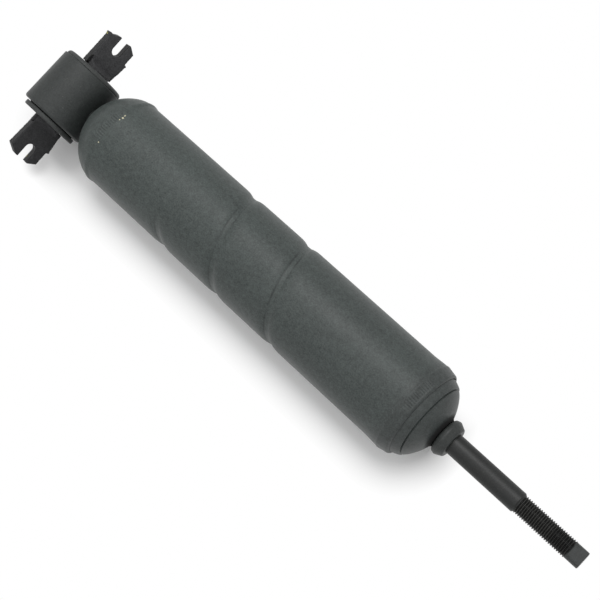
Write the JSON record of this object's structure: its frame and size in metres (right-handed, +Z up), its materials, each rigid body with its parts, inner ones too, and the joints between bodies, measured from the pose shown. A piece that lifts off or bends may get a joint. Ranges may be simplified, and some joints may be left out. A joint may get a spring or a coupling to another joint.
{
  "type": "shock absorber",
  "caption": "Telescopic hydraulic damper: round body with a rolled spiral groove, an eye with a slotted bar pin in rubber, and a sliding rod that ends in a threaded stem.",
  "frame": {"origin": "centre of the eye, on the axis of the bar pin", "axes": "+X from the eye along the rod to the tip of the stem, +Y along the bar pin, +Z up as it lies on its side"},
  "size_m": [0.3782, 0.0844, 0.0522],
  "materials": {
    "body_paint": "satin charcoal paint with fine orange peel",
    "eye_paint": "satin dark paint over cut and welded tube",
    "bushing_rubber": "moulded black rubber",
    "forged_black": "thin black paint over a forged surface",
    "rod_steel": "hard chrome on the rod, black phosphate on the stem",
    "collar_black": "black phosphate",
    "tube_steel": "drawn steel, honed bore",
    "sintered_iron": "sintered iron",
    "fastener_steel": "plain turned steel",
    "spring_steel": "blued spring steel",
    "bush_bronze": "bronze bush",
    "seal_rubber": "black nitrile rubber",
    "ring_plastic": "filled plastic bearing band",
    "stop_plastic": "plain nylon"
  },
  "bodies": {
    "cylinder": {"reservoir_tube": "body_paint", "base_cap": "body_paint", "head_cap": "body_paint", "eye_ring": "eye_paint", "eye_bushing": "bushing_rubber", "pressure_tube": "tube_steel", "base_valve_body": "sintered_iron", "base_valve_stud": "fastener_steel", "base_valve_nut": "fastener_steel", "base_intake_spring": "spring_steel", "compression_spring": "spring_steel", "rod_guide": "sintered_iron", "guide_bush": "bush_bronze", "guide_gasket": "seal_rubber", "seal_spring": "spring_steel", "seal_washer": "fastener_steel", "rod_seal": "seal_rubber"},
    "cross_pin": {"bar_pin": "forged_black"},
    "ring": {"piston_ring": "ring_plastic"},
    "rod": {"piston_rod": "rod_steel", "stem_collar": "collar_black", "rebound_stop": "stop_plastic", "stop_snap_ring": "spring_steel", "piston": "sintered_iron", "piston_nut": "fastener_steel", "intake_stop_washer": "fastener_steel", "piston_intake_spring": "spring_steel", "rebound_spring": "spring_steel"},
    "piston_intake_valve": {"piston_intake_plate": "spring_steel"},
    "rebound_valve": {"rebound_disc": "spring_steel"},
    "base_intake_valve": {"base_intake_plate": "spring_steel"},
    "compression_valve": {"compression_disc": "spring_steel"}
  },
  "joints": [
    {"name": "rod_slide", "type": "slide", "parent": "cylinder", "child": "ring", "axis": [1, 0, 0], "range_m": [0, 0.136]},
    {"name": "rod_turn", "type": "hinge", "parent": "ring", "child": "rod", "pos_m": [0.1, 0, 0], "axis": [1, 0, 0], "continuous": true},
    {"name": "pin_turn", "type": "hinge", "parent": "cylinder", "child": "cross_pin", "pos_m": [0, 0, 0], "axis": [0, 1, 0], "range_deg": [-30, 30], "stiffness_Nm_per_rad": 25},
    {"name": "piston_intake_lift", "type": "slide", "parent": "rod", "child": "piston_intake_valve", "axis": [1, 0, 0], "range_m": [0, 0.0008], "stiffness_N_per_m": 900, "springref_m": -0.002, "deforming": ["piston_intake_spring"]},
    {"name": "rebound_drop", "type": "slide", "parent": "rod", "child": "rebound_valve", "axis": [-1, 0, 0], "range_m": [0, 0.001], "stiffness_N_per_m": 20000, "springref_m": -0.003, "deforming": ["rebound_spring"]},
    {"name": "base_intake_lift", "type": "slide", "parent": "cylinder", "child": "base_intake_valve", "axis": [1, 0, 0], "range_m": [0, 0.001], "stiffness_N_per_m": 600, "springref_m": -0.002, "deforming": ["base_intake_spring"]},
    {"name": "compression_drop", "type": "slide", "parent": "cylinder", "child": "compression_valve", "axis": [-1, 0, 0], "range_m": [0, 0.0012], "stiffness_N_per_m": 15000, "springref_m": -0.003, "deforming": ["compression_spring"]}
  ]
}
